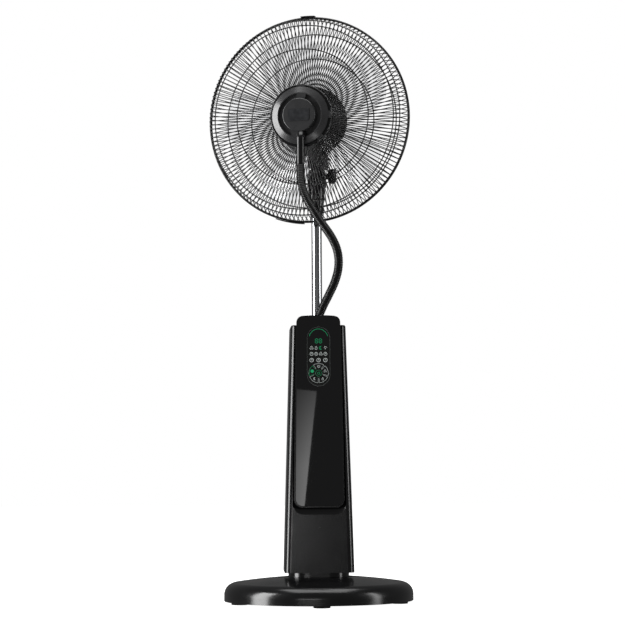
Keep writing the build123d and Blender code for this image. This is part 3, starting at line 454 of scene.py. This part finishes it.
class FAN_OT_stage(bpy.types.Operator):
    """Adds the camera, the studio lights and a plain floor"""
    bl_idname = "fan.stage"
    bl_label = "Stage"

    def execute(self, context):
        studio = context.scene.fan_studio
        self.add_camera(studio)
        self.add_floor(context.scene.fan_colours)
        self.add_softboxes(studio.key_power)
        self.add_card()
        self.add_backdrop(context.scene)
        context.scene.view_settings.view_transform = "Standard"
        return {"FINISHED"}

    def add_camera(self, studio):
        """A long lens, low and a little to the left, tipped up to the middle of the fan."""
        camera = bpy.data.cameras.new("camera")
        camera.lens = studio.lens
        camera.sensor_width = 36
        camera.clip_end = 50
        eye = bpy.data.objects.new("camera", camera)
        bpy.context.scene.collection.objects.link(eye)
        eye.location = (studio.camera_side, -studio.camera_distance, studio.camera_height)
        pitch = math.radians(90 + 3.467)
        heading = math.radians(-1.89)
        roll = math.radians(0.35)
        eye.rotation_euler = (Matrix.Rotation(heading, 3, "Z") @ Matrix.Rotation(pitch, 3, "X")
                              @ Matrix.Rotation(-roll, 3, "Z")).to_euler()
        bpy.context.scene.camera = eye

    def add_softboxes(self, key_power):
        """Two side lights, one overhead and a low card for the base, each a share of the left one's power."""
        middle = (0, 0, 0.6)
        boxes = {
            "left_softbox": ((-2.6, -0.7, 0.9), middle, (1.1, 2.6), 1),
            "right_softbox": ((2.8, -1.0, 0.9), middle, (0.5, 2.4), 0.22),
            "top_softbox": ((0, -0.4, 3.4), middle, (3.0, 2.4), 0.7),
            "low_front_card": ((-0.5, -2, 0.0975), (-0.5, 0, 0.0975), (0.9, 0.155), 0.019),
        }
        for name, (place, aim, size, share) in boxes.items():
            lamp = softbox(name, place, size, key_power * share)
            lamp.rotation_euler = (Vector(aim) - Vector(place)).to_track_quat("-Z", "Y").to_euler()

    def add_card(self):
        """A narrow leaning card behind the camera, brightest at its right, for the gloss panel to mirror."""
        lean = math.radians(6.4)
        lamp = softbox("leaning_card", (-0.005, -5.28, 0.33), (0.3, 0.56), 1.25)
        lamp.rotation_euler = (math.radians(90), lean, 0)
        lamp.data.use_nodes = True
        tree = lamp.data.node_tree
        tree.nodes.clear()
        place = add_node(tree, "ShaderNodeNewGeometry")
        apart = add_node(tree, "ShaderNodeSeparateXYZ", {"Vector": (place, "Parametric")})
        across = add_node(tree, "ShaderNodeMapRange", {"Value": (apart, "X"), "From Min": 0.5})
        down = add_node(tree, "ShaderNodeMapRange", {"Value": (apart, "Y"), "From Min": 1.0, "From Max": 0.4,
                                                     "To Min": 0.32})
        fade = add_node(tree, "ShaderNodeMath", {0: (across, "Result"), 1: (down, "Result")},
                        operation="MULTIPLY")
        glow = add_node(tree, "ShaderNodeEmission", {"Strength": (fade, "Value")})
        add_node(tree, "ShaderNodeOutputLight", {"Surface": (glow, "Emission")})

    def add_backdrop(self, scene):
        """A white backdrop, seen directly and through clear plastic. As a light it is dim."""
        world = bpy.data.worlds.new("studio_air")
        world.use_nodes = True
        tree = world.node_tree
        tree.nodes.clear()
        path = add_node(tree, "ShaderNodeLightPath")
        white = linear("#ffffff")
        seen = add_node(tree, "ShaderNodeBackground", {"Strength": 1.0, "Color": white})
        dim = add_node(tree, "ShaderNodeBackground", {"Strength": 0.12, "Color": white})
        is_seen = add_node(tree, "ShaderNodeMath", {
            0: (path, "Is Camera Ray"), 1: (path, "Is Transmission Ray")}, operation="MAXIMUM")
        both = add_node(tree, "ShaderNodeMixShader", {"Fac": (is_seen, "Value"), 1: (dim, "Background"),
                                                      2: (seen, "Background")})
        add_node(tree, "ShaderNodeOutputWorld", {"Surface": (both, "Shader")})
        scene.world = world

    def add_floor(self, colours):
        """A large pale floor that runs out of sight."""
        form = bmesh.new()
        bmesh.ops.create_grid(form, x_segments=2, y_segments=2, size=9)
        floor = piece_from(form, "floor")
        # Opal acrylic sheet over lamps: an even white with no edge to be seen
        material, tree, shader = new_material("opal_acrylic_light_table", IOR=1.45, Emission_Strength=1.0,
                                              Emission_Color=linear("#ffffff"))
        grained(tree, shader, colours.floor, linear("#efefee"), (0.55, 0.7), 400, 3, 0.02)
        floor.data.materials.append(material)
        # The table is lit only as a backdrop: it throws no light up into the black plastics
        floor.visible_diffuse = False
        floor.visible_glossy = False


# ---- Mesh helpers ----


def piece_from(form, name, smooth_angle=None):
    """Turns a bmesh into an object at the origin, shaded smooth below an angle in degrees."""
    mesh = bpy.data.meshes.new(name)
    form.to_mesh(mesh)
    form.free()
    thing = bpy.data.objects.new(name, mesh)
    bpy.context.scene.collection.objects.link(thing)
    if smooth_angle:
        mesh.shade_smooth()
        mesh.set_sharp_from_angle(angle=math.radians(smooth_angle))
    return thing


def finish_piece(thing, body, maker):
    """Gives a new piece its body, finish and slot."""
    thing.data.materials.append(finish_of(maker, bpy.context.scene.fan_colours))
    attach(thing, body)


# ---- Hose ----


def route_line():
    """Points evenly read along the smooth line that the hose's route makes."""
    curve = bpy.data.curves.new("hose_line", "CURVE")
    curve.dimensions = "3D"
    curve.resolution_u = 24
    spline = curve.splines.new("NURBS")
    spline.points.add(len(hose_route) - 1)
    for point, place in zip(spline.points, hose_route):
        point.co = (*place, 1)
    spline.order_u = 3
    spline.use_endpoint_u = True
    holder = bpy.data.objects.new("hose_line", curve)
    mesh = bpy.data.meshes.new_from_object(holder)
    line = [v.co.copy() for v in mesh.vertices]
    bpy.data.objects.remove(holder)
    return line


def stepped(line, step):
    """Points a fixed distance apart along a line, with its end."""
    points = [line[0].copy()]
    left = step
    for start, end in zip(line, line[1:]):
        run = (end - start).length
        at = left
        while at <= run:
            points.append(start.lerp(end, at / run))
            at += step
        left = at - run
    if (points[-1] - line[-1]).length > step * 0.3:
        points.append(line[-1].copy())
    return points


def ribbed_tube(points, radii, sides):
    """A tube of rings along points, skinned between them and closed at both ends."""
    form = bmesh.new()
    rings = []
    normal = Vector((1, 0, 0))
    for i, place in enumerate(points):
        ahead = points[min(i + 1, len(points) - 1)] - points[max(i - 1, 0)]
        ahead.normalize()
        normal = (normal - ahead * normal.dot(ahead)).normalized()
        turn = Matrix((normal, ahead.cross(normal), ahead)).transposed().to_4x4()
        ring = bmesh.ops.create_circle(form, segments=sides, radius=radii[i],
                                       matrix=Matrix.Translation(place) @ turn)
        rings.append(ring["verts"])
    for low, high in zip(rings, rings[1:]):
        edges = {e for v in low for e in v.link_edges if e.other_vert(v) in low}
        edges |= {e for v in high for e in v.link_edges if e.other_vert(v) in high}
        bmesh.ops.bridge_loops(form, edges=list(edges))
    bmesh.ops.holes_fill(form, edges=[e for e in form.edges if e.is_boundary])
    bmesh.ops.recalc_face_normals(form, faces=form.faces)
    return form


class FAN_OT_hose(bpy.types.Operator):
    """Makes the corrugated mist hose in its two lengths"""
    bl_idname = "fan.hose"
    bl_label = "Mist hose"

    def execute(self, context):
        sizes = context.scene.fan_sizes
        steps_per_rib = len(groove_profile)
        points = stepped(route_line(), sizes.rib_pitch / steps_per_rib)
        split_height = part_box("hose_upper")[0][2] + split_above_joint
        split = min(range(len(points)), key=lambda i: abs(points[i].z - split_height))
        lengths = {"mist_hose_upper": (points[:split + 1], "hose_upper"),
                   "mist_hose_lower": (points[split:], "hose_lower")}
        for name, (run, node) in lengths.items():
            radii = [sizes.hose_radius - sizes.rib_depth * (1 - groove_profile[i % steps_per_rib])
                     for i in range(len(run))]
            tube = piece_from(ribbed_tube(run, radii, hose_sides), name, 60)
            tube.data.materials.append(finish_of(hose_epdm, context.scene.fan_colours))
            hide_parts(node)
            if node == "hose_upper":
                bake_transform(tube)
            else:
                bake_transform(tube)
        return {"FINISHED"}


# ---- Fan blades ----


def on_fan():
    """The place of a piece made with +Z forward and +Y up on the fan's axis."""
    stood = Matrix(((1, 0, 0), (0, 0, -1), (0, 1, 0))).to_4x4()
    level = Matrix.Translation((0, -ring_forward, head_height)) @ stood
    return Matrix.Rotation(rest_swing, 4, "Z") @ level


def between(value, stops):
    """A value read off the straight lines between stops of (place, value)."""
    for (low, first), (high, last) in zip(stops, stops[1:]):
        if value <= high:
            share = max(0, (value - low) / (high - low))
            return first + (last - first) * share
    return stops[-1][1]


class FAN_OT_blades(bpy.types.Operator):
    """Makes the five cupped blades and their hub"""
    bl_idname = "fan.blades"
    bl_label = "Blades"

    def execute(self, context):
        form = bmesh.new()
        self.vane(form, context.scene.fan_sizes.blade_thick)
        bmesh.ops.rotate(form, verts=form.verts, cent=(0, 0, 0), matrix=Matrix.Rotation(blade_phase, 3, "Z"))
        first = form.verts[:] + form.edges[:] + form.faces[:]
        bmesh.ops.spin(form, geom=first, axis=(0, 0, 1), cent=(0, 0, 0), steps=blade_count - 1,
                       angle=2 * math.pi * (blade_count - 1) / blade_count, use_duplicate=True)
        self.hub(form)
        bmesh.ops.recalc_face_normals(form, faces=form.faces)
        form.transform(on_fan())
        blades = piece_from(form, "clear_blades", 40)
        finish_piece(blades, "fan", clear_polystyrene)
        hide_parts("fan_blade")
        return {"FINISHED"}

    def vane(self, form, thick):
        """One blade: narrow and steep at its root, broad and flatter at its rounded tip."""
        grid = bmesh.ops.create_grid(form, x_segments=18, y_segments=22, size=0.5)
        for point in grid["verts"]:
            across = point.co.x
            along = point.co.y + 0.5
            reach = blade_root + (blade_tip - blade_root) * along
            chord = between(reach, [(0.024, 0.034), (0.05, 0.06), (0.075, 0.078), (0.125, 0.106),
                                    (0.19, 0.114)])
            pitch = math.radians(between(reach, [(0.024, 38), (0.075, 30), (0.125, 24), (0.19, 17)]))
            lean = between(reach, [(0.024, 0), (0.075, 0.006), (0.125, 0.014), (0.19, 0.022)])
            # The tip's corners are rounded off, and the vane is cupped across its chord
            reach -= 0.014 * along * abs(2 * across) ** 5
            cup = 0.006 * (1 - (2 * across) ** 2)
            x = lean + across * chord * math.cos(pitch)
            z = blade_plane - across * chord * math.sin(pitch) + cup
            point.co = (x, math.sqrt(max(reach**2 - x**2, blade_root**2 * 0.3)), z)
        bmesh.ops.solidify(form, geom=form.faces[:], thickness=thick)

    def hub(self, form):
        """The moulded cup that the blades grow from."""
        outline = [(0.0045, -0.010), (0.0105, -0.010), (0.0105, 0.002), (0.025, 0.002), (0.0265, -0.012),
                   (0.0285, -0.012), (0.0285, 0.007), (0.026, 0.0115), (0.021, 0.0132), (0.0045, 0.0132)]
        spin_outline(form, outline, 48)


def spin_outline(form, outline, steps):
    """A closed outline of (radius, forward) points, spun into a ring about the fan's axis."""
    points = [form.verts.new((radius, 0, forward)) for radius, forward in outline]
    edges = [form.edges.new((a, b)) for a, b in zip(points, points[1:] + points[:1])]
    bmesh.ops.spin(form, geom=points + edges, axis=(0, 0, 1), cent=(0, 0, 0), angle=2 * math.pi, steps=steps,
                   use_merge=True)


# ---- Lit panel. Its shapes lie on the lens, in X and Z ----


def bar(form, start, end, width, front):
    """A flat stroke from one (x, z) point to another."""
    run = Vector((end[0] - start[0], 0, end[1] - start[1]))
    middle = Vector(((start[0] + end[0]) / 2, front, (start[1] + end[1]) / 2))
    turn = Matrix.Rotation(-math.atan2(run.z, run.x), 4, "Y")
    size = Matrix.Diagonal((run.length, print_thick, width, 1))
    bmesh.ops.create_cube(form, size=1, matrix=Matrix.Translation(middle) @ turn @ size)


def arc(form, middle, radius, first, last, width, front):
    """A flat stroke round part of a circle, between two directions in degrees."""
    spread = math.radians(last - first)
    full = abs(last - first) >= 360
    turn = Matrix.Rotation(-math.radians(first), 3, "Y")
    corners = [(radius - width / 2, -print_thick / 2), (radius + width / 2, -print_thick / 2),
               (radius + width / 2, print_thick / 2), (radius - width / 2, print_thick / 2)]
    centre = Vector((middle[0], front, middle[1]))
    points = [form.verts.new(centre + turn @ Vector((x, y, 0))) for x, y in corners]
    face = form.faces.new(points)
    steps = max(6, round(abs(last - first) / 9))
    geometry = points + face.edges[:] if full else [face] + face.edges[:] + points
    bmesh.ops.spin(form, geom=geometry, axis=(0, -1, 0), cent=centre, angle=spread, steps=steps,
                   use_merge=full)
    if full:
        bmesh.ops.delete(form, geom=[face], context="FACES_ONLY")


def dot(form, middle, radius, front):
    """A flat round spot."""
    place = Matrix.Translation((middle[0], front, middle[1])) @ Matrix.Rotation(math.radians(90), 4, "X")
    bmesh.ops.create_cone(form, cap_ends=True, segments=20, radius1=radius, radius2=radius, depth=print_thick,
                          matrix=place)


def digit_eight(form, middle, front):
    """A seven-segment figure with every segment lit."""
    half_width = 2.6 * mm
    half_height = 4.6 * mm
    inset = 0.9 * mm
    x, z = middle
    for height in (-half_height, 0, half_height):
        bar(form, (x - half_width + inset, z + height), (x + half_width - inset, z + height), stroke, front)
    for side in (-half_width, half_width):
        for low, high in ((-half_height, 0), (0, half_height)):
            bar(form, (x + side, z + low + inset), (x + side, z + high - inset), stroke, front)


def icon(form, kind, middle, size, front):
    """A small generic sign: power, fan, timer, drop, moon, swing, glow or ring."""
    x, z = middle
    line = 0.1 * size
    if kind == "power":
        arc(form, middle, size * 0.42, 120, 420, line, front)
        bar(form, (x, z + size * 0.12), (x, z + size * 0.52), line, front)
    elif kind == "fan":
        for turn in (90, 210, 330):
            way = math.radians(turn)
            petal = (x + size * 0.26 * math.cos(way), z + size * 0.26 * math.sin(way))
            arc(form, petal, size * 0.2, turn - 100, turn + 130, line, front)
        dot(form, middle, size * 0.08, front)
    elif kind == "timer":
        arc(form, middle, size * 0.42, 0, 360, line, front)
        bar(form, middle, (x, z + size * 0.28), line, front)
        bar(form, middle, (x + size * 0.2, z), line, front)
    elif kind == "drop":
        arc(form, (x, z - size * 0.12), size * 0.28, 150, 390, line, front)
        for side in (-1, 1):
            bar(form, (x, z + size * 0.46), (x + side * size * 0.25, z + size * 0.02), line, front)
    elif kind == "moon":
        arc(form, middle, size * 0.4, 70, 300, line, front)
        arc(form, (x + size * 0.24, z + size * 0.1), size * 0.38, 110, 250, line, front)
    elif kind == "swing":
        arc(form, (x, z - size * 0.2), size * 0.5, 40, 140, line, front)
        dot(form, (x, z - size * 0.2), size * 0.12, front)
    elif kind == "glow":
        dot(form, middle, size * 0.55, front)
    else:
        arc(form, middle, size * 0.4, 0, 360, line, front)
        dot(form, middle, size * 0.13, front)


class FAN_OT_display(bpy.types.Operator):
    """Makes the lit digits, icons and outlines on the lens, and the signs on the keys"""
    bl_idname = "fan.display"
    bl_label = "Lit panel"

    def execute(self, context):
        low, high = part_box("panel_lens")
        front = low[1] - print_thick / 2
        lens_height = (low[2] + high[2]) / 2
        self.green(front, lens_height + lens_half_straight)
        self.white(front)
        self.edge(front, lens_height)
        self.keys(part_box("key_top")[0][1] - print_thick / 2)
        return {"FINISHED"}

    def green(self, front, dome_height):
        """The two digits, the arc over them and the one live icon."""
        form = bmesh.new()
        for side in (-4.2 * mm, 4.2 * mm):
            digit_eight(form, (side, digit_height), front)
        arc(form, (0, dome_height), lens_half_width - glow_arc_inset, 14, 166, 0.8 * mm, front)
        icon(form, "moon", (4.7 * mm, top_row_height), 8.4 * mm, front)
        self.place(form, "green_display", "stand", green_led)

    def white(self, front):
        """Three rows of icons: each row's height, its icons' size, and the icons by their place across."""
        rows = [
            (top_row_height, 8.2 * mm, {-15: "fan", -5.2: "drop", 14.7: "swing"}),
            (middle_row_height, 8 * mm, {-15: "timer", -5.2: "ring", 4.7: "fan", 14.7: "timer"}),
            (low_row_height, 9.4 * mm, {-15: "timer", 0: "timer", 14.7: "timer"}),
        ]
        form = bmesh.new()
        for height, size, kinds in rows:
            for across, kind in kinds.items():
                icon(form, kind, (across * mm, height), size, front)
        self.place(form, "white_icons", "stand", white_led)

    def edge(self, front, lens_height):
        """The line printed round the lens: two half circles and two straight sides."""
        form = bmesh.new()
        radius = lens_half_width - lens_edge_inset
        low = lens_height - lens_half_straight
        high = lens_height + lens_half_straight
        for middle, first in ((high, 0), (low, 180)):
            arc(form, (0, middle), radius, first, first + 180, lens_edge_width, front)
        for side in (-radius, radius):
            bar(form, (side, low), (side, high), lens_edge_width, front)
        self.place(form, "lens_edge_print", "stand", grey_print)

    def keys(self, front):
        """Each sector's outline and sign, and the power sign in the middle."""
        signs = {"key_top": ("timer", 90), "key_left": ("glow", 162), "key_lower_left": ("moon", 234),
                 "key_lower_right": ("drop", 306), "key_right": ("fan", 18)}
        middle = (0, keypad_height)
        for name, (kind, turn) in signs.items():
            form = bmesh.new()
            arc(form, middle, keypad_radius, turn - key_half_angle, turn + key_half_angle, 0.5 * mm, front)
            icon(form, kind, self.on_keypad(turn, key_sign_radius), 6.4 * mm, front)
            for side in (turn - key_half_angle, turn + key_half_angle):
                bar(form, self.on_keypad(side, keypad_inner_radius), self.on_keypad(side, keypad_radius),
                    0.4 * mm, front)
            self.place(form, name + "_sign", name, green_led if name == "key_left" else white_led)
        form = bmesh.new()
        icon(form, "power", middle, 6 * mm, front)
        arc(form, middle, 6.6 * mm, 0, 360, 0.35 * mm, front)
        self.place(form, "power_sign", "power_key", green_led)

    def on_keypad(self, turn, radius):
        """The (x, z) place at a direction in degrees and a radius on the keypad."""
        way = math.radians(turn)
        return radius * math.cos(way), keypad_height + radius * math.sin(way)

    def place(self, form, name, body, maker):
        """Turns a form into a finished piece on its body."""
        bmesh.ops.recalc_face_normals(form, faces=form.faces)
        finish_piece(piece_from(form, name), body, maker)


# ---- Panel and registration ----

classes = [FanColours, FanSizes, StudioSettings, FAN_OT_stage, FAN_OT_hose, FAN_OT_blades, FAN_OT_display,
           FAN_OT_finishes]


class FAN_PT_panel(bpy.types.Panel):
    """Lists the fan's settings and pieces"""
    bl_label = "Misting pedestal fan"
    bl_idname = "FAN_PT_panel"
    bl_space_type = "VIEW_3D"
    bl_region_type = "UI"
    bl_category = "Fan"

    def draw(self, context):
        for group in (context.scene.fan_colours, context.scene.fan_sizes, context.scene.fan_studio):
            for name in group.__annotations__:
                self.layout.prop(group, name)
        for kind in classes:
            if issubclass(kind, bpy.types.Operator):
                self.layout.operator(kind.bl_idname)


def register():
    for kind in classes + [FAN_PT_panel]:
        bpy.utils.register_class(kind)
    bpy.types.Scene.fan_colours = bpy.props.PointerProperty(type=FanColours)
    bpy.types.Scene.fan_sizes = bpy.props.PointerProperty(type=FanSizes)
    bpy.types.Scene.fan_studio = bpy.props.PointerProperty(type=StudioSettings)


def unregister():
    del bpy.types.Scene.fan_colours
    del bpy.types.Scene.fan_sizes
    del bpy.types.Scene.fan_studio
    for kind in reversed(classes + [FAN_PT_panel]):
        bpy.utils.unregister_class(kind)


def main():
    register()
    bpy.ops.fan.stage()
    bpy.ops.fan.hose()
    bpy.ops.fan.blades()
    bpy.ops.fan.display()
    bpy.ops.fan.finishes()


if __name__ == "__main__":
    main()
